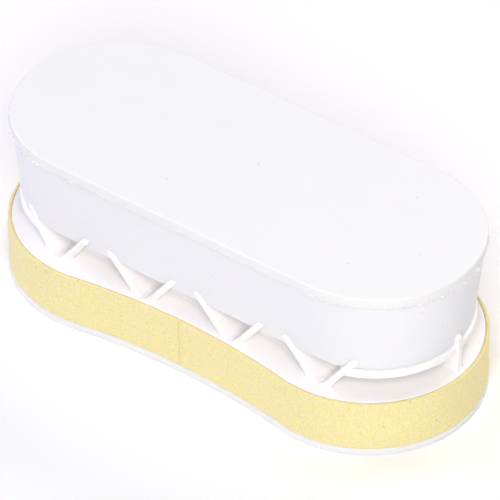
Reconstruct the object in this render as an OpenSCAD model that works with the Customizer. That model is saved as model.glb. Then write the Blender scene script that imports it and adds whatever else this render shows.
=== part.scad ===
// Hand-held nail buffer block: a hollow grip on an open strut neck, over a
// peanut-shaped base whose side is wrapped in a chamois strip.
// Millimetres, +Z up. The origin is on the floor under the middle of the base.

/* [Overall] */
// Height from the floor to the top of the cap
total_height = 44; // [42:0.5:50]
// Half the distance between the centres of the grip's two round ends
grip_centre = 35.5; // [33:0.5:38]

/* [Cap] */
// Half width of the cap
cap_radius = 25; // [24.8:0.1:26]
// Thickness of the cap's edge
cap_edge = 2.6; // [2:0.1:3]
// Radius of the cap's edges
cap_round = 0.4; // [0.2:0.1:0.8]
// Depth of the rim that locates the cap in the shell's mouth
spigot_depth = 3; // [2:0.5:6]

/* [Grip shell] */
// Half width of the shell under the cap
mouth_radius = 24.6; // [24.2:0.1:24.8]
// Half width of the shell at its foot
foot_radius = 22.5; // [22.4:0.1:22.8]
// Thickness of the wall
shell_wall = 1.8; // [1.4:0.1:2.4]
// Thickness of the floor
shell_floor = 2; // [1.6:0.1:3]

/* [Neck] */
// Height of the open neck, from the flange to the shell's foot
neck_gap = 6.7; // [6.2:0.1:8]
// Thickness of the deck that the shell stands on
deck_thickness = 1.9; // [1.6:0.1:2.6]
// Half width of the deck along the straight sides
deck_radius = 20.4; // [19:0.1:21.5]
// Radius of the shelf at each round end
shelf_radius = 23.2; // [23:0.1:24]
// Half the angle that each shelf spans
shelf_angle = 73; // [60:1:76]
// Distance between the feet of two neighbouring V struts
strut_pitch = 24.4; // [23:0.1:25]
// Space between the two feet of a V
strut_foot_gap = 2.2; // [0:0.1:4]
// How far each arm of a V reaches sideways at its tip
strut_reach = 9; // [8:0.1:9.5]
// Thickness of a strut
strut_thickness = 1.6; // [1.2:0.1:2]
// How far the strut tips reach up the outside of the shell
tip_height = 2.8; // [2:0.1:4]
// Half width across the struts at the flange
strut_foot_radius = 22.9; // [22.2:0.1:23.1]
// Half width across the struts at their tips
strut_tip_radius = 23.3; // [23.2:0.1:23.6]
// Radius of the outer face of the rib at each end
end_rib_radius = 23.6; // [23.5:0.1:24.2]
// Half width of the closed core inside the struts
core_radius = 16.4; // [14:0.1:17]
// Thickness of the core's wall
core_wall = 1.6; // [1.2:0.1:2]

/* [Base] */
// Half the distance between the centres of the base's two round ends
base_centre = 34; // [33.5:0.1:35]
// Radius of each round end of the flange
end_radius = 26.4; // [26:0.1:27]
// Half width of the flange at its waist
waist_radius = 23.4; // [23.2:0.1:24.2]
// Height of the top of the flange
base_height = 15; // [14:0.1:16]
// Thickness of the flange
flange_thickness = 1.8; // [1.5:0.1:2.4]
// Thickness of the base plate and its lip
lip_thickness = 1.9; // [1.8:0.1:2.4]
// Thickness of the base's upright wall
tray_wall = 1.8; // [1.4:0.1:2.2]

/* [Strip] */
// Thickness of the chamois
chamois_thickness = 0.8; // [0.6:0.1:1.2]
// Thickness of the felt behind it
felt_thickness = 1.5; // [1:0.1:2]
// Place of the butt joint along the front of the waist
seam_x = -1; // [-10:0.5:10]
// Width of the butt joint
seam_gap = 0.2; // [0.1:0.1:0.4]

/* [Screws] */
// Distance from the middle to each screw that holds the shell
neck_screw_x = 22; // [15:1:28]
// Radius of the thread of the screws that hold the shell
neck_screw_radius = 1.6; // [1.4:0.1:2]
// Radius of the thread of the screws that hold the base plate
base_screw_radius = 1.45; // [1.2:0.05:1.5]
// Radius of the bosses that the base screws go into
base_boss_radius = 2.6; // [2.4:0.1:2.8]

/* [Hidden] */

round_fn = 96;
hole_fn = 32;
tiny = 0.01;
far = 200;

cap_z = total_height - cap_edge;
foot_z = base_height + neck_gap;
deck_z = foot_z - deck_thickness;
tip_z = foot_z + tip_height;
flange_z = base_height - flange_thickness;
floor_top = foot_z + shell_floor;
foot_chamfer = 0.5;
band_top = base_height - 0.1;
lip_grow = chamois_thickness + 0.1;
mouth_inner = mouth_radius - shell_wall;
foot_inner = foot_radius - shell_wall;
spigot_wall = 1.5;
end_rib_thickness = 1.8;

// gap round the cap's rim and round the frame's tongue
slip_fit = 0.1;
tray_inner = -felt_thickness - tray_wall;
tongue_outer = tray_inner - slip_fit;
tongue_thickness = 1.2;
tongue_depth = 3;

// places and sizes of the screws and of the bosses they go into
screw_angle = 45;
base_screw_ring = end_radius + tongue_outer - base_boss_radius;
base_screw_end = 9.5;
base_head_radius = 2.7;
base_head_height = 1.3;
neck_boss_radius = 3.3;
neck_boss_z = 10;
neck_screw_end = neck_boss_z + 1;
neck_head_radius = 3;
neck_head_height = 2;
cross_width = 0.6;

// radius of the shell's outer wall at a height
wall_lean = (mouth_radius - foot_radius) / (cap_z - foot_z);
function wall_at(z) = foot_radius + (z - foot_z) * wall_lean;

// points round an arc, with its two ends
function arc(x, y, r, from, to, steps) =
    [for (i = [0:steps]) let (a = from + (to - from) * i / steps)
        [x + r * cos(a), y + r * sin(a)]];

// the peanut outline: two round ends joined by two hollow arcs, all grown alike
waist_arc = (base_centre^2 + waist_radius^2 - end_radius^2)
    / (2 * (end_radius - waist_radius));
waist_y = waist_radius + waist_arc;
join_angle = atan2(waist_y, -base_centre);
end_steps = 44;
waist_steps = 20;
function peanut(grow) = let (r = end_radius + grow, w = waist_arc - grow, a = join_angle)
    concat(arc(base_centre, 0, r, -a, a, end_steps),
           arc(0, waist_y, w, a - 180, -a, waist_steps),
           arc(-base_centre, 0, r, 180 - a, 180 + a, end_steps),
           arc(0, -waist_y, w, a, 180 - a, waist_steps));

module peanut_plate(grow, z, height)
    translate([0, 0, z]) linear_extrude(height) polygon(peanut(grow));

module peanut_ring(outer, inner, z, height)
    difference() {
        peanut_plate(outer, z, height);
        peanut_plate(inner, z - 1, height + 2);
    }

// sweeps a profile of radius against height round the long oval of the grip
module round_the_oval() {
    for (side = [-1, 1]) {
        translate([side * grip_centre, 0, 0]) rotate([0, 0, -side * 90])
            rotate_extrude(angle = 180, $fn = round_fn) children();
        mirror([0, side < 0 ? 1 : 0, 0])
            translate([-grip_centre, 0, 0]) rotate([90, 0, 90])
                linear_extrude(2 * grip_centre) children();
    }
}

// puts its children at a distance along the front rim, turned to face outwards
module along_rim(s) {
    over = abs(s) - grip_centre;
    if (over <= 0) translate([s, 0, 0]) children();
    else translate([sign(s) * grip_centre, 0, 0])
        rotate([0, 0, sign(s) * over / foot_radius * 180 / PI]) children();
}

// repeats its children at each screw of the base plate
module four_base_screws()
    for (x = [-1, 1], y = [-1, 1])
        translate([x * (base_centre + base_screw_ring * cos(screw_angle)),
                   y * base_screw_ring * sin(screw_angle), 0]) children();

// repeats its children at each screw of the shell
module two_neck_screws()
    for (x = [-1, 1]) translate([x * neck_screw_x, 0, 0]) children();

// the flat top with its locating rim
module top_cap()
    color([0.97, 0.96, 0.99]) {
        outer = mouth_inner - slip_fit;
        round_the_oval() polygon([
            [0, cap_z], [0, total_height],
            [cap_radius - cap_round, total_height],
            [cap_radius - 0.3 * cap_round, total_height - 0.3 * cap_round],
            [cap_radius, total_height - cap_round],
            [cap_radius, cap_z], [outer, cap_z],
            [outer - spigot_depth * wall_lean, cap_z - spigot_depth],
            [outer - spigot_wall, cap_z - spigot_depth],
            [outer - spigot_wall, cap_z]]);
    }

// the hollow grip: a tapered wall on a floor, with two screw holes
module grip_shell()
    color([0.92, 0.92, 0.96]) difference() {
        round_the_oval() polygon([
            [0, foot_z], [foot_radius - foot_chamfer, foot_z],
            [wall_at(foot_z + foot_chamfer), foot_z + foot_chamfer],
            [mouth_radius, cap_z], [mouth_inner, cap_z],
            [foot_inner, floor_top], [0, floor_top]]);
        two_neck_screws() translate([0, 0, foot_z - 1])
            cylinder(r = neck_screw_radius, h = shell_floor + 2, $fn = hole_fn);
    }

// the space in which the struts stand: under the shell and just outside its wall
module strut_space(foot, tip)
    round_the_oval() polygon([
        [core_radius - core_wall / 2, base_height - tiny], [foot, base_height - tiny],
        [tip, tip_z], [wall_at(tip_z), tip_z],
        [wall_at(foot_z + foot_chamfer), foot_z + foot_chamfer],
        [foot_radius - foot_chamfer, foot_z],
        [core_radius - core_wall / 2, foot_z]]);

// one leaning arm, from the foot of a V to its tip
module strut_arm(s, lean) {
    rise = tip_z - base_height;
    start = strut_foot_gap / 2;
    width = strut_thickness * sqrt(1 + ((strut_reach - start) / rise)^2);
    along_rim(s + lean * strut_reach / 2)
        translate([-lean * strut_reach / 2, 0, base_height - tiny])
            rotate([90, 0, 0]) linear_extrude(cap_radius + 5)
                polygon([[lean * start, 0], [lean * (start + width), 0],
                         [lean * (strut_reach + width / 2), rise + 1],
                         [lean * (strut_reach - width / 2), rise + 1]]);
}

// four V struts along each side
module v_struts()
    intersection() {
        strut_space(strut_foot_radius, strut_tip_radius);
        for (back = [0, 1]) mirror([0, back, 0])
            for (i = [-1.5:1:1.5], lean = [-1, 1])
                strut_arm(i * strut_pitch, lean);
    }

// one upright rib in the middle of each round end
module end_ribs()
    intersection() {
        strut_space(end_rib_radius, end_rib_radius);
        for (x = [0, 1]) mirror([x, 0, 0])
            translate([grip_centre + core_radius - core_wall / 2, -end_rib_thickness / 2, 0])
                cube([cap_radius, end_rib_thickness, total_height]);
    }

// the shelf that stands out under the shell at each round end
module end_shelves()
    for (x = [0, 1]) mirror([x, 0, 0])
        translate([grip_centre, 0, 0]) rotate([0, 0, -shelf_angle])
            rotate_extrude(angle = 2 * shelf_angle, $fn = round_fn)
                polygon([[core_radius, deck_z], [shelf_radius, deck_z],
                         [shelf_radius, foot_z], [core_radius, foot_z]]);

// the open neck: flange, struts, core and the deck under the shell
module strut_frame()
    color([0.98, 0.96, 0.96]) difference() {
        union() {
            difference() {
                peanut_plate(0, flange_z, flange_thickness);
                round_the_oval() polygon([
                    [0, 0], [core_radius - core_wall, 0],
                    [core_radius - core_wall, far], [0, far]]);
            }
            round_the_oval() polygon([
                [core_radius - core_wall, flange_z], [core_radius, flange_z],
                [core_radius, deck_z], [deck_radius, deck_z], [deck_radius, foot_z],
                [0, foot_z], [0, deck_z], [core_radius - core_wall, deck_z]]);
            v_struts();
            end_ribs();
            end_shelves();
            peanut_ring(tongue_outer, tongue_outer - tongue_thickness,
                        flange_z - tongue_depth, tongue_depth + tiny);
            four_base_screws() translate([0, 0, lip_thickness])
                cylinder(r = base_boss_radius, h = flange_z - lip_thickness + tiny, $fn = hole_fn);
            two_neck_screws() translate([0, 0, neck_boss_z])
                cylinder(r = neck_boss_radius, h = deck_z - neck_boss_z + tiny, $fn = hole_fn);
        }
        four_base_screws()
            cylinder(r = base_screw_radius, h = base_screw_end, $fn = hole_fn);
        two_neck_screws() translate([0, 0, neck_boss_z - 1])
            cylinder(r = neck_screw_radius, h = far, $fn = hole_fn);
    }

// the floor of the base with its lip and the upright wall behind the felt
module base_tray()
    color([0.93, 0.94, 0.97]) difference() {
        union() {
            peanut_plate(lip_grow, 0, lip_thickness);
            peanut_ring(-felt_thickness, tray_inner,
                        lip_thickness - tiny, flange_z - lip_thickness + tiny);
        }
        four_base_screws() {
            translate([0, 0, -1])
                cylinder(r = base_screw_radius, h = lip_thickness + 2, $fn = hole_fn);
            cylinder(r1 = base_head_radius, r2 = base_screw_radius,
                     h = base_head_height, $fn = hole_fn);
        }
    }

// a slot through one side of the strip, where its two ends meet
module seam_slot()
    translate([seam_x - seam_gap / 2, -end_radius - 5, -1])
        cube([seam_gap, end_radius, total_height]);

// the soft strip glued round the upright wall
module felt_backing()
    color([0.85, 0.84, 0.8]) difference() {
        peanut_ring(0, -felt_thickness, lip_thickness, flange_z - lip_thickness);
        seam_slot();
    }

// the chamois strip stretched over the felt and the flange's edge
module chamois_band()
    color([0.96, 0.9, 0.62]) difference() {
        peanut_ring(chamois_thickness, 0, lip_thickness, band_top - lip_thickness);
        seam_slot();
    }

// the cross slot of a screw head, centred on the head's face
module cross_recess(width, depth)
    for (turn = [0, 90]) rotate([0, 0, turn])
        cube([width, cross_width, 2 * depth], center = true);

// two pan-head screws that hold the shell down on the deck
module neck_screws()
    color("silver") two_neck_screws() {
        translate([0, 0, neck_screw_end])
            cylinder(r = neck_screw_radius, h = floor_top - neck_screw_end + tiny, $fn = hole_fn);
        difference() {
            translate([0, 0, floor_top])
                cylinder(r = neck_head_radius, h = neck_head_height, $fn = hole_fn);
            translate([0, 0, floor_top + neck_head_height]) cross_recess(3.2, 1);
        }
    }

// four countersunk screws that hold the base plate up against the frame
module base_screws()
    color("silver") four_base_screws() difference() {
        union() {
            cylinder(r1 = base_head_radius, r2 = base_screw_radius,
                     h = base_head_height, $fn = hole_fn);
            cylinder(r = base_screw_radius, h = base_screw_end, $fn = hole_fn);
        }
        cross_recess(2.6, 0.8);
    }

top_cap();
grip_shell();
strut_frame();
base_tray();
felt_backing();
chamois_band();
neck_screws();
base_screws();
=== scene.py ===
# %% [markdown]
# # A nail buffer block, piece by piece
# A hand-held block for buffing nails: a hollow white plastic grip stands on an open neck
# of V-shaped struts, over a peanut-shaped base whose side is wrapped in yellow chamois.
# The design is already settled in a CAD model. Its pieces are loaded here as a fixed
# frame, and each one is then rebuilt with the finish that it has in the hand.

# %% Load the frame
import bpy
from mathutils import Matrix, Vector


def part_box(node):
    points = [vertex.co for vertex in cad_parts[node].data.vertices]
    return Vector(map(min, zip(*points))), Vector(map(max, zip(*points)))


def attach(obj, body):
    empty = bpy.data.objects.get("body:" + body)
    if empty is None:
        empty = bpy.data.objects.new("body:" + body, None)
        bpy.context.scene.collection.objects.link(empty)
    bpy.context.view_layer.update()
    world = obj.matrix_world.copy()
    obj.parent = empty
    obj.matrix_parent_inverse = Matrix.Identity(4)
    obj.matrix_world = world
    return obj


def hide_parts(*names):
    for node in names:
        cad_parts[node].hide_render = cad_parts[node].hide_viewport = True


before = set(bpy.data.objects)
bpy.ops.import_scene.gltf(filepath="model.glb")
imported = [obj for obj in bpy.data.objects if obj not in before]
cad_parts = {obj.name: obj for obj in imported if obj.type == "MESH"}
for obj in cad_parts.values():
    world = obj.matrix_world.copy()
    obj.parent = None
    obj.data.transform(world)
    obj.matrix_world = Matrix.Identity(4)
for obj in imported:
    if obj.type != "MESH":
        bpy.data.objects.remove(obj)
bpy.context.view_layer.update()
print("frame nodes:", sorted(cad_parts))

# %% Other modules
import math

import bmesh
import bpy
import numpy as np
from mathutils import Vector, noise

# %% [markdown]
# ## Sizes
# Every size that the frame can give is read from the boxes of its nodes, so the looks
# always fit the design. The few that a box can't give, such as a wall's lean, are named
# here in millimetres. All work is in metres, so one millimetre gets a name too.

# %% Sizes of the grip
mm = 0.001
cap_low, cap_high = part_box("top_cap")
shell_low, shell_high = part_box("grip_shell")

cap_radius = cap_high.y
grip_end = cap_high.x - cap_radius      # x of the middle of each round end
cap_top = cap_high.z
cap_under = shell_high.z
mouth_radius = shell_high.y
foot_z = shell_low.z
foot_radius = 22.5 * mm
shell_wall = 1.8 * mm
shell_floor = 2 * mm
wall_lean = (mouth_radius - foot_radius) / (cap_under - foot_z)


def wall_at(z):
    """Radius of the outside of the grip's wall at a height."""
    return foot_radius + (z - foot_z) * wall_lean


print(f"grip {2 * cap_high.x / mm:.1f} x {2 * cap_high.y / mm:.1f} mm, foot at {foot_z / mm:.1f}")

# %% Sizes of the base
felt_low, felt_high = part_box("felt_backing")
strip_low, strip_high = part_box("chamois_band")
tray_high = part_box("base_tray")[1]

end_radius = felt_high.y
base_end = felt_high.x - end_radius     # x of the middle of each round end
waist_radius = 23.4 * mm
flange_under = tray_high.z
flange_top = strip_high.z + 0.1 * mm
lip_top = strip_low.z
chamois_thickness = strip_high.x - felt_high.x
felt_thickness = 1.5 * mm
print(f"base {2 * tray_high.x / mm:.1f} x {2 * tray_high.y / mm:.1f} mm, "
      f"chamois {chamois_thickness / mm:.1f} mm thick")

# %% [markdown]
# ## Outlines
# Two outlines run through the whole object. The grip is a long oval: two half circles
# joined by straight sides. The base is a peanut: two round ends joined by two hollow
# arcs that meet them smoothly. Both are formulas of one number, a radius or a growth,
# so that a wall, a lip and a strip of leather can follow the same line at a distance.


# %% Outline of the grip
def arc(x, y, radius, start, end, steps):
    """Points along an arc, from start to end in degrees, without its last point."""
    turn = np.radians(np.linspace(start, end, steps, endpoint=False))
    return np.column_stack([x + radius * np.cos(turn), y + radius * np.sin(turn)])


def long_oval(radius, end_steps=72, side_steps=24):
    """The grip's outline with round ends of a radius, anticlockwise from the front right."""
    along = np.linspace(grip_end, -grip_end, side_steps, endpoint=False)
    half = np.concatenate([arc(grip_end, 0, radius, -90, 90, end_steps),
                           np.column_stack([along, np.full(side_steps, radius)])])
    return np.concatenate([half, -half])


print("points round the long oval:", len(long_oval(cap_radius)))

# %% Outline of the base
waist_arc = ((base_end ** 2 + waist_radius ** 2 - end_radius ** 2)
             / (2 * (end_radius - waist_radius)))
waist_y = waist_radius + waist_arc
join_angle = math.degrees(math.atan2(waist_y, -base_end))


def peanut(grow, end_steps=96, waist_steps=40):
    """The base's outline, grown outwards, anticlockwise from the front right."""
    half = np.concatenate([
        arc(base_end, 0, end_radius + grow, -join_angle, join_angle, end_steps),
        arc(0, waist_y, waist_arc - grow, join_angle - 180, -join_angle, waist_steps)])
    return np.concatenate([half, -half])


print(f"waist arcs of {waist_arc / mm:.1f} mm meet the ends at {join_angle:.1f} degrees")

# %% [markdown]
# ## Lofting
# Most moulded pieces are one section carried round an outline. A loft does that: it
# stacks rings with the same number of points and joins them with quads. The corners of
# the section are rounded first, because no moulded edge is ever quite sharp, and each
# rounding is framed by a narrow band that keeps the wide faces shading flat.


# %% Loft and rounding helpers
sharp_angle = math.radians(40)          # an edge that turns more than this stays sharp
bite = 0.1 * mm                         # how far joined bodies run into each other


def placed(name, data):
    """An object with some data, linked into the scene at the origin."""
    made = bpy.data.objects.new(name, data)
    bpy.context.scene.collection.objects.link(made)
    return made


def plain_object(name, points, faces):
    """A mesh object at the origin, smooth except at its sharp edges."""
    mesh = bpy.data.meshes.new(name)
    mesh.from_pydata([tuple(p) for p in points], [], faces)
    mesh.update()
    mesh.shade_smooth()
    mesh.set_sharp_from_angle(angle=sharp_angle)
    return placed(name, mesh)


def loft(name, rings, closed=False):
    """Joins rings with quads. A closed loft meets its first ring; an open one gets two lids."""
    count, total = len(rings[0]), len(rings)
    faces = []
    for i in range(total if closed else total - 1):
        low, high = i * count, (i + 1) % total * count
        for k in range(count):
            after = (k + 1) % count
            faces.append((low + k, low + after, high + after, high + k))
    if not closed:
        faces.append(tuple(reversed(range(count))))
        faces.append(tuple(range((total - 1) * count, total * count)))
    return plain_object(name, np.concatenate(rings), faces)


def rounded(corners, closed=False, steps=5, guard=0.12 * mm):
    """Rounds a section. A corner is (across, height, radius), and the result is pairs."""
    points = [Vector(c[:2]) for c in corners]
    made = []
    for i, corner in enumerate(corners):
        at_end = not closed and i in (0, len(corners) - 1)
        if at_end or corner[2] == 0:
            made.append(tuple(points[i]))
            continue
        back = (points[i - 1] - points[i]).normalized()
        ahead = (points[(i + 1) % len(points)] - points[i]).normalized()
        half = back.angle(ahead) / 2
        reach = corner[2] / math.tan(half)
        middle = points[i] + (back + ahead).normalized() * corner[2] / math.sin(half)
        first = points[i] + back * reach
        last = points[i] + ahead * reach
        made.append(tuple(first + back * guard))
        for k in range(steps + 1):
            spoke = (first - middle).normalized().slerp((last - middle).normalized(), k / steps)
            made.append(tuple(middle + spoke * corner[2]))
        made.append(tuple(last + ahead * guard))
    return made


def sweep(name, outline, section, closed=False):
    """Carries a section of (growth or radius, height) pairs round an outline."""
    rings = []
    for across, height in section:
        flat = outline(across)
        rings.append(np.column_stack([flat, np.full(len(flat), height)]))
    return loft(name, rings, closed)


print("lofting helpers are ready")

# %% [markdown]
# Two more helpers finish a piece. A boolean cut drills holes, and its result is baked
# into a plain mesh at once. A join makes one piece out of the bodies of one moulding.


# %% Cutting, joining and turning
def settle(made):
    """Turns an object with modifiers into a plain mesh."""
    graph = bpy.context.evaluated_depsgraph_get()
    mesh = bpy.data.meshes.new_from_object(made.evaluated_get(graph),
                                           preserve_all_data_layers=True, depsgraph=graph)
    made.modifiers.clear()
    used = [m for m in mesh.materials if m]
    if len(used) < len(mesh.materials):
        mesh.materials.clear()
        for material in used:
            mesh.materials.append(material)
        mesh.polygons.foreach_set("material_index", [0] * len(mesh.polygons))
    made.data = mesh
    return made


def cut(made, *tools):
    """Takes the tools' shapes out of an object, then removes the tools."""
    for tool in tools:
        step = made.modifiers.new("cut", "BOOLEAN")
        step.operation = "DIFFERENCE"
        step.solver = "EXACT"
        step.object = tool
    settle(made)
    for tool in tools:
        bpy.data.objects.remove(tool)
    made.data.set_sharp_from_angle(angle=sharp_angle)
    return made


def join(name, bodies):
    """Makes one object of several."""
    whole = bmesh.new()
    for body in bodies:
        whole.from_mesh(body.data)
        bpy.data.objects.remove(body)
    mesh = bpy.data.meshes.new(name)
    whole.to_mesh(mesh)
    whole.free()
    return placed(name, mesh)


def lathe(name, x, y, section, steps=40):
    """Turns a section of (radius, height) pairs round an upright axis."""
    return sweep(name, lambda radius: arc(x, y, radius, 0, 360, steps), section)


def paint(made, material):
    """Gives a whole piece one material."""
    made.data.materials.clear()
    made.data.materials.append(material)
    made.data.polygons.foreach_set("material_index", [0] * len(made.data.polygons))


def faces_of(made):
    """How many triangles a piece has."""
    made.data.calc_loop_triangles()
    return len(made.data.loop_triangles)


print("cutting and joining helpers are ready")

# %% [markdown]
# ## Node trees
# Geometry Nodes make what repeats, and shader nodes make every finish. Both kinds of
# tree are built with the same small helper: it adds a node, sets its options, and fills
# each input with a value or a link.


# %% Node helpers
def fill(tree, node, inputs):
    """Fills a node's inputs. A value is a number, a colour or another node's socket."""
    for name, value in inputs.items():
        if isinstance(value, bpy.types.NodeSocket):
            tree.links.new(value, node.inputs[name])
        else:
            node.inputs[name].default_value = value


def put(tree, kind, inputs=None, **options):
    """Adds a node to a tree, with its options and inputs."""
    made = tree.nodes.new(kind)
    for name, value in options.items():
        setattr(made, name, value)
    fill(tree, made, inputs or {})
    return made


def calc(tree, operation, *values):
    """The result of a math node."""
    return put(tree, "ShaderNodeMath", dict(enumerate(values)), operation=operation).outputs[0]


def geometry_tree(name, **inputs):
    """A Geometry Nodes tree with named inputs, each a number or the kind of its socket."""
    tree = bpy.data.node_groups.new(name, "GeometryNodeTree")
    tree.interface.new_socket("Geometry", in_out="INPUT", socket_type="NodeSocketGeometry")
    tree.interface.new_socket("Geometry", in_out="OUTPUT", socket_type="NodeSocketGeometry")
    for label, value in inputs.items():
        kind = value if isinstance(value, str) else {int: "Int", float: "Float"}[type(value)]
        socket = tree.interface.new_socket(label.replace("_", " "), in_out="INPUT",
                                           socket_type="NodeSocket" + kind)
        if value != kind:
            socket.default_value = value
    return tree, put(tree, "NodeGroupInput").outputs


def close_tree(tree, geometry, material):
    """Ends a tree: instances become real, then the material is set."""
    real = put(tree, "GeometryNodeRealizeInstances", {0: geometry})
    finish = put(tree, "GeometryNodeSetMaterial", {0: real.outputs[0], "Material": material})
    put(tree, "NodeGroupOutput", {0: finish.outputs[0]})


def grow(made, tree, **values):
    """Runs a tree on an object, with inputs set by identifier, and keeps the plain mesh."""
    modifier = made.modifiers.new(tree.name, "NODES")
    modifier.node_group = tree
    for socket in tree.interface.items_tree:
        label = socket.name.replace(" ", "_")
        if socket.in_out == "INPUT" and label in values:
            modifier[socket.identifier] = values[label]
    settle(made)
    made.data.set_sharp_from_angle(angle=sharp_angle)
    return made


print("node helpers are ready")

# %% [markdown]
# ## Moulded plastic
# The four plastic pieces are white polystyrene or ABS. Real mouldings are never one
# flat white: the melt leaves faint clouds a few millimetres wide, dust leaves a few
# dark specks, and the mould's own surface gives a fine orange-peel that breaks up the
# highlights. A little light also travels inside the plastic, which softens its edges.
# One function makes the finish, and each piece gets its own tint and gloss. The shell's
# darker, bluer tint and the tray's bluish one are painted shade for their upright faces,
# and the frame's lighter, warmer white is painted light in its shaded cells.


# %% The plastic finish
def clouds(tree, size, detail=3.0, stretch=(1, 1, 1)):
    """Noise with blobs of about a size, on the object's own coordinates."""
    place = put(tree, "ShaderNodeTexCoord").outputs["Object"]
    turned = put(tree, "ShaderNodeMapping", {"Vector": place, "Scale": stretch}).outputs[0]
    return put(tree, "ShaderNodeTexNoise", {"Vector": turned, "Scale": 1 / size,
                                            "Detail": detail}).outputs[0]


def between(tree, factor, low, high, at=(0.35, 0.65)):
    """A colour or a grey that runs from low to high as the factor crosses a span."""
    ramp = put(tree, "ShaderNodeValToRGB", {0: factor})
    for stop, place, value in zip(ramp.color_ramp.elements, at, (low, high)):
        stop.position = place
        stop.color = (*value, 1) if hasattr(value, "__len__") else (value, value, value, 1)
    return ramp.outputs[0]


def blank_material(name):
    """A material with only a Principled shader in it, and its output."""
    material = bpy.data.materials.new(name)
    material.use_nodes = True
    tree = material.node_tree
    tree.nodes.clear()
    shader = put(tree, "ShaderNodeBsdfPrincipled")
    put(tree, "ShaderNodeOutputMaterial", {0: shader.outputs[0]})
    return material, tree, shader


def bumps(tree, height, strength, distance):
    """The normal of a surface with bumps of a height on it."""
    return put(tree, "ShaderNodeBump", {"Height": height, "Strength": strength,
                                        "Distance": distance}).outputs[0]


def moulded_plastic(name, colour, clouded, gloss=(0.38, 0.5), peel=0.25, specks=0.9,
                    upright_shade=1.0, depth=3 * mm, glow=0.5):
    """White moulded plastic: clouds, specks, orange-peel and a little light inside.

    Upright faces get painted shade, dimmed to the share given for them. Light goes in to a depth.
    """
    material, tree, shader = blank_material(name)
    cloud = between(tree, clouds(tree, 7 * mm, 4), colour, clouded, (0.3, 0.75))
    speck = between(tree, clouds(tree, 1.1 * mm, 0), 0.0, 0.7, (specks, specks + 0.02))
    dirty = put(tree, "ShaderNodeMix", {0: speck, 6: cloud, 7: (0.45, 0.33, 0.27, 1)},
                data_type="RGBA").outputs[2]
    # Painted shade: faces that stand upright or look down are dimmed to a share of the colour.
    facing = put(tree, "ShaderNodeSeparateXYZ", {
        0: put(tree, "ShaderNodeNewGeometry").outputs["True Normal"]}).outputs[2]
    shade = between(tree, facing, upright_shade, 1.0, (0.2, 0.7))
    shaded = put(tree, "ShaderNodeMix", {0: 1.0, 6: dirty, 7: shade}, data_type="RGBA",
                 blend_type="MULTIPLY").outputs[2]
    skin = calc(tree, "ADD", clouds(tree, 0.7 * mm, 2), calc(
        tree, "MULTIPLY", clouds(tree, 5 * mm, 2), 3.0))
    fill(tree, shader, {
        "Base Color": shaded, "Roughness": between(tree, clouds(tree, 3 * mm, 4), *gloss),
        "Normal": bumps(tree, skin, peel, 0.03 * mm), "IOR": 1.5, "Subsurface Weight": glow,
        "Subsurface Radius": (1.0, 0.7, 0.65), "Subsurface Scale": depth})
    return material


# The cap's upright edge gets painted shade, a little darker than its top.
cap_plastic = moulded_plastic("cap plastic", (0.9, 0.91, 0.912), (0.89, 0.9, 0.902),
                              upright_shade=0.915, depth=2 * mm, glow=0.12)
# The shell's darker, bluer white is painted shade on its upright wall.
shell_plastic = moulded_plastic("shell plastic", (0.84, 0.845, 0.88), (0.83, 0.835, 0.87))
# The frame is white plastic; its lighter, warmer tint than the cap's is painted light in the shade
# between its struts.
frame_plastic = moulded_plastic("frame plastic", (0.975, 0.96, 0.955), (0.965, 0.95, 0.945),
                                depth=2 * mm, glow=0.1)
# The tray's bluish white is painted shade on its upright lip.
tray_plastic = moulded_plastic("tray plastic", (0.9, 0.895, 0.94), (0.89, 0.885, 0.93))
print("plastics:", [m.name for m in (cap_plastic, shell_plastic, frame_plastic, tray_plastic)])

# %% [markdown]
# ## The cap
# The flat top is a plate of its own, glued into the shell's mouth. It could be a plain
# extrusion, but its edge is what the eye follows, so it is lofted with rounded edges and
# a rim below that finds its place in the mouth. The edge is then pushed in and out by a
# few hundredths of a millimetre, because it was trimmed by hand after gluing.


# %% The cap
def drift(turn, seed):
    """A slow wander between about -1 and 1 as an angle goes once round."""
    return (math.sin(3 * turn + seed) + math.sin(7 * turn + 2.1 * seed)
            + 0.7 * math.sin(13 * turn + 3.7 * seed)) / 2.7


def unevenly(made, low, high, amount, seed):
    """Moves the points between two heights in or out a little, by their direction."""
    for vertex in made.data.vertices:
        if low <= vertex.co.z <= high:
            turn = math.atan2(vertex.co.y, vertex.co.x)
            push = 1 + amount * drift(turn, seed) / cap_radius
            vertex.co.x *= push
            vertex.co.y *= push


spigot = mouth_radius - shell_wall - 0.1 * mm
spigot_wall = 1.5 * mm
spigot_end = cap_low.z
cap = sweep("cap", long_oval, rounded([
    (spigot - spigot_wall - 1 * mm, cap_under, 0), (spigot - spigot_wall, cap_under, 0),
    (spigot - spigot_wall, spigot_end, 0.3 * mm), (spigot - 0.3 * mm, spigot_end, 0.3 * mm),
    (spigot, cap_under, 0), (cap_radius, cap_under, 0.25 * mm),
    (cap_radius, cap_top, 0.45 * mm), (cap_radius - 3 * mm, cap_top, 0)]))
unevenly(cap, cap_under, cap_top, 0.06 * mm, 1.3)
paint(cap, cap_plastic)
print("cap:", faces_of(cap), "triangles")

# %% [markdown]
# ## The grip shell
# The grip is a hollow tub: its wall leans outwards to the mouth, so that it could leave
# its mould, and its floor has two screw holes. One section draws the outside, the mouth,
# the inside and the floor, and the loft carries it round. The holes are cut afterwards.

# %% The grip shell
neck_screw_x = 22 * mm
neck_screw_radius = 1.6 * mm
floor_top = foot_z + shell_floor
foot_round = 0.5 * mm


def drill(x, y, radius, low, high):
    """A round tool that makes a hole from one height to another."""
    return lathe("drill", x, y, [(radius, low), (radius, high)])


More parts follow.
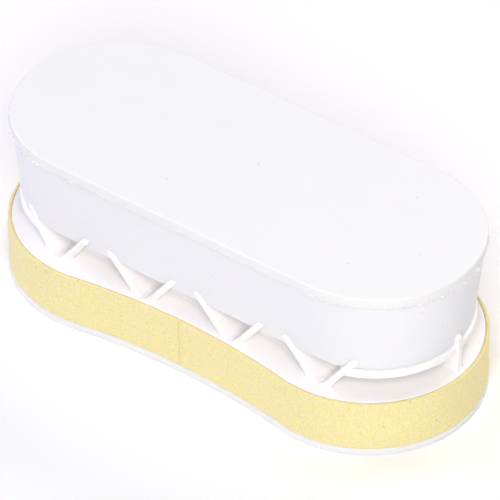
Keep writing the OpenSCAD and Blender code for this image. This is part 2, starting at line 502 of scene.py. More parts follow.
shell = sweep("shell", long_oval, rounded([
    (foot_radius - 4 * mm, foot_z, 0), (foot_radius, foot_z, foot_round),
    (mouth_radius, cap_under, 0.1 * mm), (mouth_radius - shell_wall, cap_under, 0.1 * mm),
    (foot_radius - shell_wall, floor_top, 0.8 * mm),
    (foot_radius - shell_wall - 4 * mm, floor_top, 0)]))
cut(shell, *[drill(side * neck_screw_x, 0, neck_screw_radius, foot_z - mm, floor_top + mm)
             for side in (-1, 1)])
paint(shell, shell_plastic)
print("shell:", faces_of(shell), "triangles")

# %% [markdown]
# ## The glue line under the cap
# Where the cap was glued on, a thread of hardened glue runs round under its edge, and
# crumbs of it stay at the round ends. A thread that follows a path is a job for Geometry
# Nodes: the path becomes a curve, noise makes the thread thick and thin, and small
# grains are scattered along it where a second noise is high.

# %% Glue tree
def glue_tree():
    """A tree that turns a line of edges into a lumpy thread with crumbs."""
    tree, given = geometry_tree(
        "Glue line", Thread=0.2 * mm, Crumb=0.5 * mm, Spacing=0.4 * mm, Crumbs_above=0.43,
        Crumbs_past=30 * mm, Seed=5, Material="Material")
    path = put(tree, "GeometryNodeMeshToCurve", {0: given["Geometry"]}).outputs[0]
    fine = put(tree, "GeometryNodeResampleCurve", {0: path, "Length": given["Spacing"]},
               mode="LENGTH").outputs[0]
    place = put(tree, "GeometryNodeInputPosition").outputs[0]
    lumps, breaks = [put(tree, "ShaderNodeTexNoise", {
        "Vector": place, "Scale": per_metre, "Detail": 2}).outputs[0] for per_metre in (900, 90)]
    width = put(tree, "ShaderNodeMapRange", {
        "Value": calc(tree, "MULTIPLY", lumps, breaks), "From Min": 0.18, "From Max": 0.36,
        "To Min": 0.15, "To Max": 1.6}).outputs[0]
    ring = put(tree, "GeometryNodeCurvePrimitiveCircle", {"Resolution": 8, "Radius": 1.0})
    thread = put(tree, "GeometryNodeCurveToMesh", {
        0: fine, 1: ring.outputs[0], "Scale": calc(tree, "MULTIPLY", width, given["Thread"])})

    along = calc(tree, "ABSOLUTE", put(tree, "ShaderNodeSeparateXYZ", {0: place}).outputs[0])
    at_ends = calc(tree, "GREATER_THAN", along, given["Crumbs past"])
    here = calc(tree, "MULTIPLY", at_ends, calc(
        tree, "GREATER_THAN", breaks, given["Crumbs above"]))
    spots = put(tree, "GeometryNodeCurveToPoints", {0: fine, "Length": given["Spacing"]},
                mode="LENGTH").outputs[0]
    jitter = put(tree, "FunctionNodeRandomValue", {
        0: (-0.2 * mm, -0.2 * mm, -0.4 * mm), 1: (0.2 * mm, 0.2 * mm, 0.3 * mm),
        "Seed": given["Seed"]}, data_type="FLOAT_VECTOR").outputs[0]
    moved = put(tree, "GeometryNodeSetPosition", {0: spots, "Offset": jitter}).outputs[0]
    grain = put(tree, "GeometryNodeMeshIcoSphere", {"Radius": 1.0, "Subdivisions": 1}).outputs[0]
    size = put(tree, "FunctionNodeRandomValue", {2: 0.3, 3: 1.0, "Seed": 11}).outputs[1]
    crumbs = put(tree, "GeometryNodeInstanceOnPoints", {
        0: moved, "Selection": here, "Instance": grain,
        "Scale": calc(tree, "MULTIPLY", size, given["Crumb"])}).outputs[0]
    both = put(tree, "GeometryNodeJoinGeometry", {0: crumbs})
    tree.links.new(thread.outputs[0], both.inputs[0])
    close_tree(tree, both.outputs[0], given["Material"])
    return tree


def edge_line(name, ring):
    """An object that is only a closed line of edges through a ring of points."""
    count = len(ring)
    mesh = bpy.data.meshes.new(name)
    mesh.from_pydata([tuple(p) for p in ring], [(k, (k + 1) % count) for k in range(count)], [])
    return placed(name, mesh)


# %% The glue line
glue_path = long_oval(mouth_radius + 0.24 * mm)
glue_line = edge_line("glue_line", np.column_stack(
    [glue_path, np.full(len(glue_path), cap_under - 0.12 * mm)]))
grow(glue_line, glue_tree(), Material=cap_plastic)
print("glue line:", faces_of(glue_line), "triangles")

# %% [markdown]
# ## The neck frame
# One moulding carries the grip: a peanut flange, a closed oval core, a deck for the
# grip's floor, and a shelf at each round end. Each body is a loft of its own, because
# they have different outlines, and they are then joined as one piece.

# %% Flange, core and deck
core_radius = 16.4 * mm
core_inner = 14.8 * mm
deck_z = foot_z - 1.9 * mm
deck_radius = 20.4 * mm

flange = sweep("flange", peanut, rounded([
    (-3 * mm, flange_under, 0), (0, flange_under, 0.2 * mm),
    (0, flange_top, 0.4 * mm), (-3 * mm, flange_top, 0)]))
hollow = sweep("hollow", long_oval, [
    (core_inner, flange_under - mm), (core_inner, flange_top + mm)])
cut(flange, hollow)
core = sweep("core", long_oval, rounded([
    (core_inner, flange_under + bite, 0), (core_radius + 0.7 * mm, flange_under + bite, 0),
    (core_radius + 0.7 * mm, flange_top, 0), (core_radius, flange_top + 0.7 * mm, 0.4 * mm),
    (core_radius, deck_z + 2 * bite, 0), (core_inner, deck_z + 2 * bite, 0)], closed=True),
    closed=True)
deck = sweep("deck", long_oval, rounded([
    (deck_radius - 3 * mm, deck_z, 0), (deck_radius, deck_z, 0.3 * mm),
    (deck_radius, foot_z, 0.3 * mm), (deck_radius - 3 * mm, foot_z, 0)]))
cut(deck, *[drill(side * neck_screw_x, 0, neck_screw_radius, deck_z - mm, foot_z + mm)
            for side in (-1, 1)])
print(f"deck from {deck_z / mm:.1f} to {foot_z / mm:.1f} mm")

# %% The shelf at each round end
shelf_radius = 23.2 * mm
shelf_angle = 73
shelf_corner = 0.6 * mm


def end_shelf(side):
    """A shelf that follows a round end, with rounded edges and corners."""
    step_in = math.degrees(shelf_corner / shelf_radius)
    inner = [shelf_angle - step_in * (1 - math.cos(math.radians(a))) for a in range(0, 91, 15)]
    drops = [shelf_corner * (1 - math.sin(math.radians(a))) for a in range(0, 91, 15)]
    turns = list(zip([-a for a in inner], drops))
    turns += [(a, 0) for a in np.linspace(-shelf_angle + 3, shelf_angle - 3, 48)]
    turns += list(zip(reversed(inner), reversed(drops)))
    rings = []
    for turn, drop in turns:
        section = rounded([
            (deck_radius - mm, foot_z, 0), (deck_radius - mm, deck_z, 0),
            (shelf_radius - drop, deck_z, 0.3 * mm),
            (shelf_radius - drop, foot_z, 0.35 * mm)], closed=True)
        angle = math.radians(turn)
        rings.append(np.array([
            (side * (grip_end + r * math.cos(angle)), side * r * math.sin(angle), z)
            for r, z in section]))
    return loft("shelf", rings)


shelves = [end_shelf(side) for side in (-1, 1)]
print("shelves:", [faces_of(s) for s in shelves], "triangles")

# %% [markdown]
# Under the flange, out of sight, a tongue drops inside the base's wall, four bosses
# take the base screws, and two more take the screws that hold the grip.

# %% Tongue and bosses
wall_inner = -felt_thickness - 1.8 * mm
tongue_outer = wall_inner - 0.1 * mm
tongue_inner = tongue_outer - 1.2 * mm
tongue_z = flange_under - 3 * mm
tongue = sweep("tongue", peanut, rounded([
    (tongue_inner, tongue_z, 0.2 * mm), (tongue_outer, tongue_z, 0.2 * mm),
    (tongue_outer, flange_under + bite, 0), (tongue_inner, flange_under + bite, 0)],
    closed=True), closed=True)

base_screw_radius = 1.45 * mm
base_boss_radius = 2.6 * mm
base_ring = (end_radius + tongue_outer - base_boss_radius) / math.sqrt(2)
base_screw_spots = [(x * (base_end + base_ring), y * base_ring) for x in (-1, 1) for y in (-1, 1)]
base_screw_end = 9.5 * mm
bosses = [lathe("boss", x, y, [
    (0.2 * mm, base_screw_end), (base_screw_radius, base_screw_end),
    (base_screw_radius, lip_top), (base_boss_radius, lip_top),
    (base_boss_radius, flange_under + bite), (0.2 * mm, flange_under + bite)])
    for x, y in base_screw_spots]
neck_boss_z = 10 * mm
neck_boss_radius = 3.3 * mm
bosses += [sweep("boss", lambda r, x=x: arc(x, 0, r, 0, 360, 40), [
    (neck_screw_radius, neck_boss_z), (neck_boss_radius, neck_boss_z),
    (neck_boss_radius, deck_z + bite), (neck_screw_radius, deck_z + bite)], closed=True)
    for x in (-neck_screw_x, neck_screw_x)]
neck_frame = join("neck_frame", [flange, core, deck, tongue, *shelves, *bosses])
paint(neck_frame, frame_plastic)
print("neck frame:", faces_of(neck_frame), "triangles,", len(bosses), "bosses")

# %% [markdown]
# ## The struts
# Four V-shaped struts stand along each side and one rib stands at each end. They are
# one bar, repeated, so Geometry Nodes place them. The bar is drawn once, upright. The
# tree leans one copy to each side, puts both at every foot along a straight line, and
# then bends that line round the long oval. A copy turned by half a turn makes the back.
# A mirror would do that too, but it would turn the faces inside out.

# %% One upright bar
strut_tip_z = foot_z + 2.8 * mm
strut_rise = strut_tip_z - flange_top
strut_reach = 9 * mm
strut_start = 2.05 * mm                 # half the distance between the feet of a V
strut_width = 1.6 * mm * math.sqrt(1 + ((strut_reach - strut_start) / strut_rise) ** 2)


def upright_bar(name, width, foot_out, tip_out, flare):
    """A bar from the flange to the shell's wall: a rounded section at each height."""
    levels = [flange_top - 0.3 * mm, flange_top]
    levels += [flange_top + lift * mm for lift in (0.1, 0.2, 0.35, 0.55, 0.8, 1.2, 1.8, 2.8, 4.5)]
    levels += [foot_z - 0.3 * mm, foot_z - 0.02 * mm, foot_z + 0.3 * mm, foot_z + 1 * mm]
    levels += [strut_tip_z - 0.8 * mm, strut_tip_z - 0.4 * mm, strut_tip_z - 0.1 * mm, strut_tip_z]
    rings = []
    for z in levels:
        share = max(0, z - flange_top) / strut_rise
        spread = flare * math.exp(-max(0, z - flange_top) / (0.4 * mm))
        fade = max(0, 1 - (strut_tip_z - z) / (0.8 * mm)) ** 2
        out = foot_out + (tip_out - foot_out) * share + 0.5 * spread
        out += (wall_at(z) + 0.12 * mm - out) * fade
        inner = core_radius - 0.4 * mm if z < foot_z else wall_at(z) - 0.3 * mm
        half = width / 2 * (1 - 0.35 * fade) + spread
        section = rounded([(-half, -out, 0.3 * mm), (half, -out, 0.3 * mm),
                           (half, -inner, 0), (-half, -inner, 0)], closed=True, steps=3,
                          guard=0.05 * mm)
        rings.append(np.array([(x, y, z) for x, y in section]))
    return loft(name, rings)


strut_bar = upright_bar("strut bar", strut_width, foot_out=22.5 * mm, tip_out=23.3 * mm,
                        flare=0.6 * mm)
rib_bar = upright_bar("rib bar", 1.7 * mm, foot_out=23.6 * mm, tip_out=23.6 * mm,
                      flare=0.5 * mm)
print(f"strut bar: {faces_of(strut_bar)} triangles, {strut_rise / mm:.1f} mm tall")


# %% Strut tree
def wrap_round(tree, geometry, half_length, radius):
    """Bends a straight row along X round the ends of a long oval."""
    place = put(tree, "GeometryNodeInputPosition").outputs[0]
    x, y, z = put(tree, "ShaderNodeSeparateXYZ", {0: place}).outputs
    low = calc(tree, "MULTIPLY", half_length, -1.0)
    kept = calc(tree, "MAXIMUM", calc(tree, "MINIMUM", x, half_length), low)
    turn = calc(tree, "DIVIDE", calc(tree, "SUBTRACT", x, kept), radius)
    out = calc(tree, "MULTIPLY", y, -1.0)
    new_x = calc(tree, "ADD", kept, calc(tree, "MULTIPLY", out, calc(tree, "SINE", turn)))
    new_y = calc(tree, "MULTIPLY", y, calc(tree, "COSINE", turn))
    moved = put(tree, "ShaderNodeCombineXYZ", {0: new_x, 1: new_y, 2: z}).outputs[0]
    return put(tree, "GeometryNodeSetPosition", {0: geometry, "Position": moved}).outputs[0]


def strut_tree():
    """A tree that stands leaning bars along both sides and a rib at each end."""
    tree, given = geometry_tree(
        "Struts round the neck", Bar="Object", Rib="Object", Feet=4, Pitch=24.4 * mm,
        Start=2 * mm, Reach=9 * mm, Rise=9.5 * mm, Floor=15 * mm, Half_length=35.5 * mm,
        Bend_radius=22.5 * mm, Material="Material")
    span = calc(tree, "MULTIPLY", calc(tree, "SUBTRACT", given["Feet"], 1.0), given["Pitch"])
    start = put(tree, "ShaderNodeCombineXYZ", {0: calc(tree, "MULTIPLY", span, -0.5)})
    step = put(tree, "ShaderNodeCombineXYZ", {0: given["Pitch"]})
    feet = put(tree, "GeometryNodeMeshLine", {
        "Count": given["Feet"], "Start Location": start.outputs[0], "Offset": step.outputs[0]})
    bar = put(tree, "GeometryNodeObjectInfo", {"Object": given["Bar"]}).outputs["Geometry"]
    rib = put(tree, "GeometryNodeObjectInfo", {"Object": given["Rib"]}).outputs["Geometry"]

    place = put(tree, "GeometryNodeInputPosition").outputs[0]
    height = calc(tree, "SUBTRACT", put(tree, "ShaderNodeSeparateXYZ", {0: place}).outputs[2],
                  given["Floor"])
    slope = calc(tree, "DIVIDE", calc(tree, "SUBTRACT", given["Reach"], given["Start"]),
                 given["Rise"])
    share = calc(tree, "ADD", calc(tree, "MULTIPLY", height, slope), given["Start"])
    row = put(tree, "GeometryNodeJoinGeometry")
    for lean in (-1.0, 1.0):
        aside = put(tree, "ShaderNodeCombineXYZ", {0: calc(tree, "MULTIPLY", share, lean)})
        leaning = put(tree, "GeometryNodeSetPosition", {0: bar, "Offset": aside.outputs[0]})
        copies = put(tree, "GeometryNodeInstanceOnPoints", {
            0: feet.outputs[0], "Instance": leaning.outputs[0]})
        tree.links.new(copies.outputs[0], row.inputs[0])
    quarter = calc(tree, "MULTIPLY", given["Bend radius"], math.pi / 2)
    rib_place = put(tree, "ShaderNodeCombineXYZ", {
        0: calc(tree, "ADD", given["Half length"], quarter)})
    rib_there = put(tree, "GeometryNodeTransform", {
        0: rib, "Translation": rib_place.outputs[0]})
    tree.links.new(rib_there.outputs[0], row.inputs[0])

    real = put(tree, "GeometryNodeRealizeInstances", {0: row.outputs[0]}).outputs[0]
    front = wrap_round(tree, real, given["Half length"], given["Bend radius"])
    back = put(tree, "GeometryNodeTransform", {0: front, "Rotation": (0, 0, math.pi)})
    both = put(tree, "GeometryNodeJoinGeometry", {0: front})
    tree.links.new(back.outputs[0], both.inputs[0])
    close_tree(tree, both.outputs[0], given["Material"])
    return tree


# %% The struts
neck_struts = plain_object("neck_struts", [], [])
grow(neck_struts, strut_tree(), Bar=strut_bar, Rib=rib_bar, Start=strut_start,
     Reach=strut_reach, Rise=strut_rise, Floor=flange_top, Half_length=grip_end,
     Bend_radius=foot_radius, Material=frame_plastic)
for blank in (strut_bar, rib_bar):
    bpy.data.objects.remove(blank)
print("struts:", faces_of(neck_struts), "triangles")

# %% [markdown]
# ## The base tray
# The tray closes the base from below. Its plate stands out past the chamois as a thin
# lip, and an upright wall backs the felt. Four countersunk holes take the screws, and
# the same cone that the screw head has cuts each of them.

# %% The base tray
head_radius = 2.7 * mm
head_height = 1.3 * mm
lip_grow = chamois_thickness + 0.1 * mm
plate = sweep("plate", peanut, rounded([
    (-4 * mm, 0, 0), (lip_grow, 0, 0.5 * mm), (lip_grow, lip_top, 0.5 * mm),
    (-4 * mm, lip_top, 0)]))
sink = 0.01 * mm
cut(plate, *[lathe("sink", x, y, [
    (head_radius + 0.1 * mm, -mm), (head_radius + sink, 0), (base_screw_radius, head_height),
    (base_screw_radius, lip_top + mm)]) for x, y in base_screw_spots])
wall = sweep("wall", peanut, rounded([
    (wall_inner, lip_top - 0.05 * mm, 0), (-felt_thickness, lip_top - 0.05 * mm, 0),
    (-felt_thickness, flange_under, 0.2 * mm), (wall_inner, flange_under, 0.2 * mm)],
    closed=True), closed=True)
base_shell = join("base_shell", [plate, wall])
paint(base_shell, tray_plastic)
print("base shell:", faces_of(base_shell), "triangles")

# %% [markdown]
# ## The chamois strip
# The working surface is a strip of buffing chamois, about 13 by 305 mm, stretched round
# the base over a felt pad and closed with a butt joint at the waist. Chamois is the
# split inner side of a hide: thick, dusty yellow, with a nap of short loose fibres. The
# strip could be swept like the mouldings, but a joint and a nap need points that follow
# the cloth. So the outline is first walked at even steps, from one end of the strip to
# the other, and the section is carried along that walk.


# %% Walk along the strip
def walk(growth, spacing, start_x, gap):
    """Even steps round the base from a joint on the front: places, ways out, whole length."""
    ring = peanut(growth, 720, 480)
    front = np.nonzero((ring[:, 1] < 0) & (ring[:, 0] >= start_x))[0]
    ring = np.roll(ring, -front[np.argmin(ring[front, 0])], axis=0)
    ring = np.vstack([ring, ring[:1]])
    steps = np.linalg.norm(np.diff(ring, axis=0), axis=1)
    so_far = np.concatenate([[0], np.cumsum(steps)])
    count = int(so_far[-1] / spacing)
    at = np.linspace(gap / 2, so_far[-1] - gap / 2, count)
    places = np.column_stack([np.interp(at, so_far, ring[:, i]) for i in (0, 1)])
    ways = np.gradient(places, axis=0)
    ways /= np.linalg.norm(ways, axis=1)[:, None]
    return places, np.column_stack([ways[:, 1], -ways[:, 0]]), so_far[-1]


seam_x = -1 * mm
seam_gap = 0.08 * mm
places, outward, strip_length = walk(chamois_thickness / 2, 0.36 * mm, seam_x, seam_gap)


# %% Loft the strip
def strip_section(inner, outer, low, high, face_steps, corner):
    """A closed section of (outwards, height), finely divided on its outer face."""
    face = np.linspace(high - corner, low + corner, face_steps)
    turn = np.radians(np.linspace(0, 90, 4))
    top = [(outer - corner + corner * math.sin(a), high - corner + corner * math.cos(a))
           for a in turn[:-1]]
    foot = [(outer - corner + corner * math.cos(a), low + corner - corner * math.sin(a))
            for a in turn[1:]]
    return top + [(outer, z) for z in face] + foot + [
        (inner, low), (inner, (low + high) / 2), (inner, high)]


def strip_loft(name, places, outward, section):
    """Carries a section along a walk. The two ends of the strip get flat lids."""
    rings = []
    for place, way in zip(places, outward):
        rings.append(np.array([(*(place + way * out), z) for out, z in section]))
    return loft(name, rings)


# %% Unevenness of the strip
slow, quick, edge_wander = 140, 420, 300      # lumps per metre
edge_line_depth = 0.2 * mm


def soft_strip(made, section, inner, outer, puffs):
    """Marks the outer face and its edges, and lets the face swell and sag a little."""
    mesh = made.data
    count = len(section)
    marks = {label: np.zeros(len(mesh.vertices), np.float32) for label in ("nap", "rim", "joint")}
    total = len(mesh.vertices) // count
    for i, vertex in enumerate(mesh.vertices):
        step, k = divmod(i, count)
        out, z = section[k]
        face = (out - inner) / (outer - inner)
        from_joint = min(step, total - 1 - step)
        marks["nap"][i] = max(0, face) ** 2
        marks["rim"][i] = (1 - face) ** 2 * math.exp((z - strip_high.z) / edge_line_depth)
        marks["joint"][i] = face * math.exp(-from_joint / 0.8)
        swell = noise.noise(vertex.co * slow) * 0.16 + noise.noise(vertex.co * quick) * 0.1
        swell -= 0.16 * marks["joint"][i] + 0.08 * math.exp(-from_joint / 7)
        direction = Vector((*outward[step], 0))
        vertex.co += direction * swell * puffs * face
        if z > strip_high.z - 2 * mm:
            vertex.co.z += 0.1 * mm * face * noise.noise(vertex.co * edge_wander)
    for label, values in marks.items():
        mesh.attributes.new(label, "FLOAT", "POINT").data.foreach_set("value", values)
    return made


strip_back = -chamois_thickness / 2 + 0.03 * mm
strip_face = chamois_thickness / 2
section = strip_section(strip_back, strip_face, strip_low.z + 0.05 * mm, strip_high.z,
                        face_steps=34, corner=0.3 * mm)
chamois = strip_loft("chamois_strip", places, outward, section)
soft_strip(chamois, section, strip_back, strip_face, puffs=1 * mm)
print("chamois before its nap:", faces_of(chamois), "triangles")

# %% [markdown]
# The nap is relief and colour together. Relief comes from Geometry Nodes, which push
# each point of the outer face along its normal by two layers of noise: tufts about a
# millimetre wide, and fibres less than half of that. The colour has a slow and a fine
# scale too: the fine one is painted shade between the fibres, with stray orange flecks,
# and a thin brown line where the upper edge meets the flange. A sheen gives the soft
# bright rim that all napped leather has.


# %% Chamois finish
def chamois_finish():
    """Dusty yellow chamois: tufts, fibres, flecks and a brown upper edge."""
    material, tree, shader = blank_material("yellow chamois")
    tuft = clouds(tree, 1.6 * mm, 4, (1, 1, 0.8))
    fibre = clouds(tree, 0.27 * mm, 2, (1, 1, 0.6))
    both = calc(tree, "ADD", calc(tree, "MULTIPLY", tuft, 0.2),
                calc(tree, "MULTIPLY", fibre, 0.8))
    dust = between(tree, tuft, (0.915, 0.815, 0.41), (0.9, 0.82, 0.48), (0.36, 0.64))
    # Painted shade: darker between the fibres, where the fine noise is low.
    shade = between(tree, fibre, (0.88, 0.87, 0.78), (1.0, 1.0, 1.0), (0.36, 0.64))
    base = put(tree, "ShaderNodeMix", {0: 1.0, 6: dust, 7: shade}, data_type="RGBA",
               blend_type="MULTIPLY").outputs[2]
    fleck = between(tree, clouds(tree, 1.0 * mm, 1), 0.0, 0.55, (0.72, 0.78))
    flecked = put(tree, "ShaderNodeMix", {0: fleck, 6: base, 7: (0.72, 0.4, 0.12, 1)},
                  data_type="RGBA").outputs[2]
    rim = put(tree, "ShaderNodeAttribute", attribute_name="rim").outputs["Fac"]
    joint = put(tree, "ShaderNodeAttribute", attribute_name="joint").outputs["Fac"]
    # Browns the strip's top where it meets the flange, and its butt joint a little.
    edge_and_joint_brown = calc(tree, "ADD", calc(tree, "MULTIPLY", rim, clouds(tree, 1.6 * mm, 2)),
                 calc(tree, "MULTIPLY", joint, 0.08))
    edged = put(tree, "ShaderNodeMix", {0: calc(tree, "MINIMUM", edge_and_joint_brown, 0.8), 6: flecked,
                                        7: (0.6, 0.36, 0.12, 1)}, data_type="RGBA").outputs[2]
    fill(tree, shader, {
        "Base Color": edged, "Normal": bumps(tree, both, 0.5, 0.08 * mm), "Roughness": 0.95,
        "Specular IOR Level": 0.15, "Sheen Weight": 0.35, "Sheen Roughness": 0.6,
        "Sheen Tint": (1, 0.93, 0.7, 1)})
    return material


yellow_chamois = chamois_finish()
print("finish:", yellow_chamois.name)


# %% Nap tree
def nap_tree():
    """A tree that roughens the face marked as nap, along its normals."""
    tree, given = geometry_tree(
        "Nap", Tuft_depth=0.05 * mm, Tuft_size=0.9 * mm, Fibre_depth=0.09 * mm,
        Fibre_size=0.38 * mm, Material="Material")
    place = put(tree, "GeometryNodeInputPosition").outputs[0]
    longer = put(tree, "ShaderNodeVectorMath", {0: place, 1: (1, 1, 0.6)},
                 operation="MULTIPLY").outputs[0]
    total = None
    for layer in ("Tuft", "Fibre"):
        scale = calc(tree, "DIVIDE", 1.0, given[layer + " size"])
        lump = put(tree, "ShaderNodeTexNoise", {"Vector": longer, "Scale": scale,
                                                "Detail": 2}).outputs[0]
        push = calc(tree, "MULTIPLY", calc(tree, "SUBTRACT", lump, 0.5),
                    calc(tree, "MULTIPLY", given[layer + " depth"], 2.0))
        total = push if total is None else calc(tree, "ADD", total, push)
    nap = put(tree, "GeometryNodeInputNamedAttribute", {"Name": "nap"}, data_type="FLOAT")
    amount = calc(tree, "MULTIPLY", total, nap.outputs[0])
    normal = put(tree, "GeometryNodeInputNormal").outputs[0]
    offset = put(tree, "ShaderNodeVectorMath", {0: normal, "Scale": amount},
                 operation="SCALE").outputs[0]
    moved = put(tree, "GeometryNodeSetPosition", {0: given["Geometry"], "Offset": offset})
    close_tree(tree, moved.outputs[0], given["Material"])
    return tree


# %% The chamois strip
grow(chamois, nap_tree(), Material=yellow_chamois)
chamois.data.shade_smooth()
print("chamois strip:", faces_of(chamois), "triangles")

# %% [markdown]
# Loose fibres stand off the leather and catch the light at its edges. They are a piece
# of their own, because a fringe isn't part of a sheet's area. The tree scatters a fixed
# number of tiny three-sided hairs over the nap and tilts each one at random.


# %% Fibre tree
def fibre_tree():
    """A tree that plants tilted hairs where the nap is."""
    tree, given = geometry_tree(
        "Loose fibres", Density=1.6e6, Length=0.45 * mm, Thickness=0.018 * mm, Tilt=1.1,
        Seed=3, Material="Material")
    nap = put(tree, "GeometryNodeInputNamedAttribute", {"Name": "nap"}, data_type="FLOAT")
    spots = put(tree, "GeometryNodeDistributePointsOnFaces", {
        0: given["Geometry"], "Selection": calc(tree, "GREATER_THAN", nap.outputs[0], 0.5),
        "Density": given["Density"], "Seed": given["Seed"]})
    hair = put(tree, "GeometryNodeMeshCone", {
        "Vertices": 3, "Side Segments": 2, "Radius Top": 0.0,
        "Radius Bottom": given["Thickness"], "Depth": given["Length"]}, fill_type="NGON")
    tilt = given["Tilt"]
    back = calc(tree, "MULTIPLY", tilt, -1.0)
    low = put(tree, "ShaderNodeCombineXYZ", {0: back, 1: back, 2: -3.1}).outputs[0]
    high = put(tree, "ShaderNodeCombineXYZ", {0: tilt, 1: tilt, 2: 3.1}).outputs[0]
    lean = put(tree, "FunctionNodeRandomValue", {0: low, 1: high, "Seed": 17},
               data_type="FLOAT_VECTOR").outputs[0]
    size = put(tree, "FunctionNodeRandomValue", {2: 0.4, 3: 1.7, "Seed": 29}).outputs[1]
    turned = put(tree, "FunctionNodeRotateRotation", {
        0: spots.outputs["Rotation"], 1: lean}, rotation_space="LOCAL").outputs[0]
    hairs = put(tree, "GeometryNodeInstanceOnPoints", {
        0: spots.outputs["Points"], "Instance": hair.outputs["Mesh"],
        "Rotation": turned, "Scale": size})
    close_tree(tree, hairs.outputs[0], given["Material"])
    return tree


# %% The loose fibres
fibres = plain_object("chamois_fibres", [], [])
fibres.data = chamois.data.copy()
grow(fibres, fibre_tree(), Material=yellow_chamois)
print("loose fibres:", faces_of(fibres), "triangles")

# %% [markdown]
# ## The felt pad
# Behind the chamois a strip of grey-white felt gives the surface its spring. It is made
# on the same walk, set back to the felt's place, with a duller and hairier finish.


# %% Felt finish
def felt_finish():
    """Pressed wool felt: pale fibres lying every way, with a soft sheen."""
    material, tree, shader = blank_material("pressed felt")
    wool = calc(tree, "ADD", clouds(tree, 0.5 * mm, 4, (1, 1, 0.3)), clouds(tree, 0.6 * mm, 4))
    colour = between(tree, calc(tree, "MULTIPLY", wool, 0.5), (0.5, 0.48, 0.43),
                     (0.78, 0.76, 0.7), (0.38, 0.6))
    fill(tree, shader, {
        "Base Color": colour, "Normal": bumps(tree, wool, 0.7, 0.15 * mm), "Roughness": 0.98,
        "Specular IOR Level": 0.1, "Sheen Weight": 0.4})
    return material


# %% The felt pad
felt_walk, felt_outward, felt_length = walk(-felt_thickness / 2, 0.8 * mm, seam_x, seam_gap)
felt_section = strip_section(-felt_thickness / 2 + 0.02 * mm, felt_thickness / 2 - 0.03 * mm,
                             lip_top + 0.02 * mm, flange_under - 0.02 * mm, 14, 0.2 * mm)
felt = strip_loft("felt_strip", felt_walk, felt_outward, felt_section)
paint(felt, felt_finish())
felt_width = felt_high.z - felt_low.z
print(f"felt: {felt_length / mm:.1f} x {felt_width / mm:.1f} mm, {faces_of(felt)} triangles")

# %% [markdown]
# ## The screws
# Two pan-head screws hold the grip down on the deck, and four countersunk ones hold the
# tray up against the frame. A screw is drawn once: its thread is a loft whose rings
# swell where the helix passes, and its cross slot is cut out of the head. A tree then
# puts a copy at each point.


# %% Steel finish
def steel_finish():
    """Zinc-plated steel: a bright metal with fine turning marks and dull patches."""
    material, tree, shader = blank_material("zinc plated steel")
    patch = clouds(tree, 1.2 * mm, 3)
    turning = clouds(tree, 0.12 * mm, 2, (1, 1, 4))
    fill(tree, shader, {
        "Base Color": between(tree, patch, (0.56, 0.57, 0.6), (0.72, 0.72, 0.72)),
        "Roughness": between(tree, patch, 0.42, 0.26),
        "Normal": bumps(tree, turning, 0.15, 0.02 * mm), "Metallic": 1.0})
    return material


# %% One screw
def screw_blank(name, head, slot_width, slot_depth, face_z, low, high, radius, tip_down):
    """A screw round the Z axis: a turned head with a cross slot, and a helical thread."""
    pitch = 1.1 * mm
    depth = 0.32 * mm
    steps = 24
    levels = np.arange(low, high, pitch / 8)
    rings = []
    for z in levels:
        to_tip = (z - low) if tip_down else (high - z)
        room = min(1, 0.25 + to_tip / (1.6 * mm))
        ring = []
        for k in range(steps):
            turn = k / steps
            crest = abs(((z / pitch - turn) % 1) * 2 - 1)
            reach = (radius - 0.02 * mm - depth * (1 - crest)) * room
            ring.append((reach * math.cos(2 * math.pi * turn),
                         reach * math.sin(2 * math.pi * turn), z))
        rings.append(np.array(ring))
    thread = loft("thread", rings)
    top = lathe("head", 0, 0, head, 48)
    far, near = slot_width / 2, 0.3 * mm
    quarter = np.array([(far, near), (near, near), (near, far)])
    turns = [np.array([[0, 1], [-1, 0]]), -np.eye(2), np.array([[0, -1], [1, 0]])]
    cross = np.concatenate([quarter, *[quarter @ turn for turn in turns]])
    cut(top, loft("slot", [np.column_stack([cross, np.full(12, z)])
                           for z in (face_z - slot_depth, face_z + slot_depth)]))
    return join(name, [thread, top])


def screw_tree():
    """A tree that puts a copy of a screw at every point it is given."""
    tree, given = geometry_tree("Screws at points", Screw="Object", Material="Material")
    screw = put(tree, "GeometryNodeObjectInfo", {"Object": given["Screw"]})
    copies = put(tree, "GeometryNodeInstanceOnPoints", {
        0: given["Geometry"], "Instance": screw.outputs["Geometry"]})
    close_tree(tree, copies.outputs[0], given["Material"])
    return tree


# %% The screws
steel = steel_finish()
screw_copies = screw_tree()
pan_top = floor_top + 2 * mm
pan_head = rounded([(0.3 * mm, floor_top, 0), (3 * mm, floor_top, 0.2 * mm),
                    (3 * mm, pan_top, 0.9 * mm), (0.3 * mm, pan_top, 0)])
pan_screw = screw_blank("pan screw", pan_head, slot_width=3.2 * mm, slot_depth=mm,
                        face_z=pan_top, low=neck_boss_z + mm, high=floor_top + bite / 2,
                        radius=neck_screw_radius, tip_down=True)
sunk_head = rounded([(0.3 * mm, 0.02 * mm, 0), (head_radius - 0.05 * mm, 0.02 * mm, 0.08 * mm),
                     (base_screw_radius - 0.02 * mm, head_height, 0), (0.3 * mm, head_height, 0)])
sunk_screw = screw_blank("sunk screw", sunk_head, slot_width=2.6 * mm, slot_depth=0.8 * mm,
                         face_z=0.02 * mm, low=head_height - bite / 2,
                         high=base_screw_end - bite / 2, radius=base_screw_radius,
                         tip_down=False)
shell_screws = plain_object("shell_screws", [(-neck_screw_x, 0, 0), (neck_screw_x, 0, 0)], [])
grow(shell_screws, screw_copies, Screw=pan_screw, Material=steel)
tray_screws = plain_object("tray_screws", [(x, y, 0) for x, y in base_screw_spots], [])
grow(tray_screws, screw_copies, Screw=sunk_screw, Material=steel)
for blank in (pan_screw, sunk_screw):
    bpy.data.objects.remove(blank)
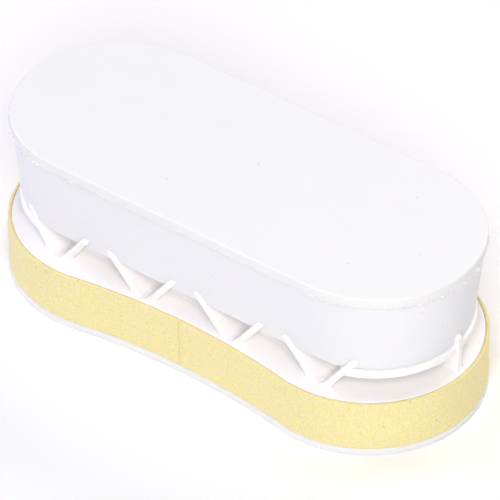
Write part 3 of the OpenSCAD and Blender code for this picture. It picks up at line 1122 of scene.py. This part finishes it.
print("screws:", faces_of(shell_screws), "and", faces_of(tray_screws), "triangles")

# %% [markdown]
# ## Joining the frame
# Nothing on this object moves, so every piece rides on the one body. Each piece says
# which CAD node it stands for and which slot of the record its finish belongs to.

# %% Pieces, nodes and slots
stands_for = [
    (cap, "top_cap", "cap_plastic"), (glue_line, "top_cap", "cap_plastic"),
    (shell, "grip_shell", "shell_plastic"),
    (neck_frame, "strut_frame", "frame_plastic"), (neck_struts, "strut_frame", "frame_plastic"),
    (base_shell, "base_tray", "tray_plastic"), (felt, "felt_backing", "felt"),
    (chamois, "chamois_band", "chamois"), (fibres, "chamois_band", "chamois"),
    (shell_screws, "neck_screws", "steel"), (tray_screws, "base_screws", "steel")]
for piece, node, slot in stands_for:
    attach(piece, "root")
    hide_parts(node)
print("pieces:", len(stands_for), "triangles:", sum(faces_of(p) for p, *_ in stands_for))

# %% [markdown]
# ## Floor, light and camera
# A white object on a pale floor lives from small differences of light, so the light has
# to be large and soft. A key panel stands in front on the right, a second one behind, a
# bluish one on the left, and a weak wide panel overhead evens them out. The top and the
# nearer round end are then the brightest, the long side is a little darker and cooler,
# helped by painted shade in the shell's colour, and the wall falls off where it turns
# away. The camera has a long lens, far away, which keeps the two ends almost the same size.


# %% Floor
def floor_finish():
    """Plain pale paper."""
    material, tree, shader = blank_material("pale floor")
    paper = between(tree, clouds(tree, 60 * mm, 2), (0.985, 0.985, 0.985), (0.99, 0.99, 0.99))
    fill(tree, shader, {"Base Color": paper, "Roughness": 0.9, "Specular IOR Level": 0.1})
    return material


floor_half = 3.0
floor_z = -0.02 * mm
floor = plain_object("floor", [
    (-floor_half, -floor_half, floor_z), (floor_half, -floor_half, floor_z),
    (floor_half, floor_half, floor_z), (-floor_half, floor_half, floor_z)], [(0, 1, 2, 3)])
paint(floor, floor_finish())
print("floor:", 2 * floor_half, "m wide")


# %% Lights
def panel(name, place, size, power, colour):
    """A square softbox that faces the object."""
    lamp = bpy.data.lights.new(name, "AREA")
    lamp.shape = "SQUARE"
    lamp.size = size
    lamp.energy = power
    lamp.color = colour
    made = placed(name, lamp)
    made.location = place
    made.rotation_euler = (-Vector(place)).to_track_quat("-Z", "Y").to_euler()


panel("overhead panel", (0.1, -0.2, 1.3), 1.2, 3.6, (0.86, 1.0, 0.84))
panel("key panel", (0.63, -0.85, 0.9), 0.7, 15.6, (1.0, 0.955, 0.955))
panel("back panel", (0, 1.2, 0.7), 0.9, 10.6, (1.0, 0.91, 0.91))
panel("left panel", (-1.2, -0.1, 0.6), 0.9, 10.3, (0.77, 0.75, 1.0))
world = bpy.data.worlds.new("soft room")
world.use_nodes = True
world.node_tree.nodes["Background"].inputs["Color"].default_value = (1, 1, 1, 1)
world.node_tree.nodes["Background"].inputs["Strength"].default_value = 0.02
bpy.context.scene.world = world
bpy.context.scene.view_settings.view_transform = "Standard"

# %% Camera
azimuth = math.radians(36.63)
elevation = math.radians(39.64)
distance = 1.302
look_at = Vector((3.94 * mm, -3.75 * mm, 24.37 * mm))
towards = Vector((math.sin(azimuth) * math.cos(elevation),
                  -math.cos(azimuth) * math.cos(elevation), math.sin(elevation)))
lens = bpy.data.cameras.new("camera")
lens.sensor_width = 36
lens.lens = 417.5
lens.clip_start = 0.1
lens.clip_end = 20
camera = placed("camera", lens)
camera.location = look_at + towards * distance
camera.rotation_euler = (-towards).to_track_quat("-Z", "Y").to_euler()
bpy.context.scene.camera = camera
print(f"camera {distance:.2f} m away, lens {lens.lens} mm")
